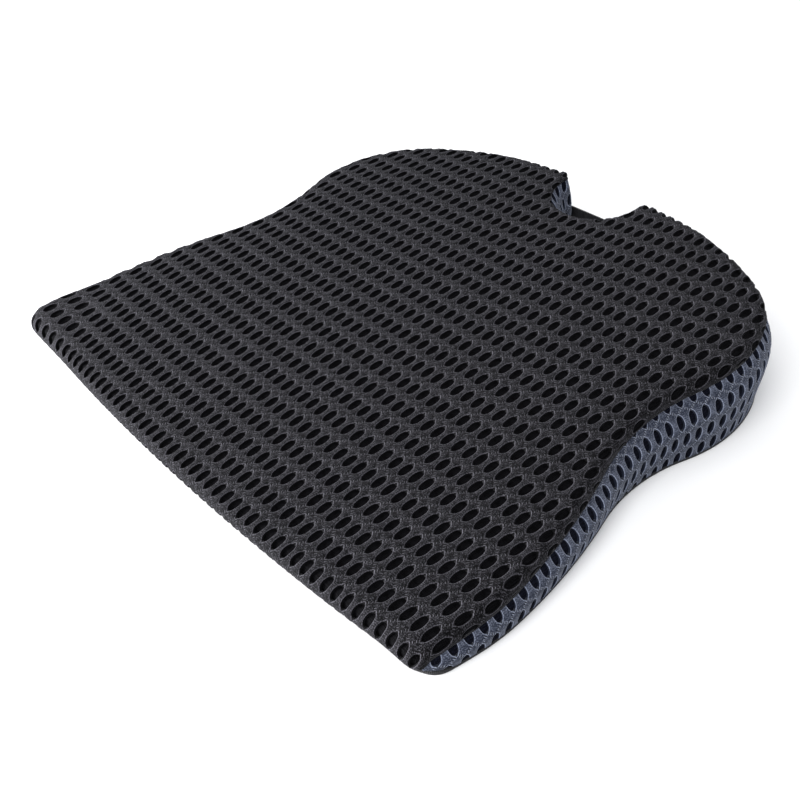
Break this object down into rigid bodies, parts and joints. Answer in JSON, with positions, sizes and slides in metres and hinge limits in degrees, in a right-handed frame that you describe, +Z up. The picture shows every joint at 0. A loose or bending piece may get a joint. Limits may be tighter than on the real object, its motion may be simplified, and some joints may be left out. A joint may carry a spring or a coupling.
{
  "type": "seat cushion",
  "caption": "Wedge seat cushion with a tailbone notch: foam core in a cover of black spacer mesh with a blue-grey mesh side band, a zipped underside and a strap across the notch.",
  "frame": {"origin": "bottom centre of the cushion's bounding box, on the surface that it rests on", "axes": "+Z up, +Y from the thin front edge to the thick rear edge with the notch, +X across the width to the sitter's right"},
  "size_m": [0.4506, 0.4084, 0.0667],
  "materials": {
    "black_mesh": "knitted spacer mesh with oval holes",
    "grey_mesh": "knitted spacer mesh with oval holes",
    "liner_knit": "thin jersey knit",
    "foam": "open-cell foam",
    "bottom_fabric": "woven fabric with raised grip dots",
    "zipper_tape": "woven tape",
    "zipper_coil": "nylon coil",
    "zipper_metal": "satin black enamel",
    "webbing": "ribbed woven webbing"
  },
  "bodies": {
    "cushion": {"top_panel": "black_mesh", "gusset_right": "grey_mesh", "gusset_left": "grey_mesh", "inner_liner": "liner_knit", "foam_core": "foam", "bottom_panel_front": "bottom_fabric", "bottom_panel_rear": "bottom_fabric", "zipper_tape_front": "zipper_tape", "zipper_tape_rear": "zipper_tape", "zipper_coil_front": "zipper_coil", "zipper_coil_rear": "zipper_coil", "zipper_stops": "zipper_metal", "rear_strap": "webbing"},
    "slider": {"zipper_slider": "zipper_metal"},
    "pull": {"zipper_pull": "zipper_metal"}
  },
  "joints": [
    {"name": "zipper_slide", "type": "slide", "parent": "cushion", "child": "slider", "axis": [-1, 0, 0], "range_m": [0, 0.3]},
    {"name": "pull_hinge", "type": "hinge", "parent": "slider", "child": "pull", "pos_m": [0.1582, 0.105, 0.0021], "axis": [0, -1, 0], "range_deg": [0, 120]}
  ]
}
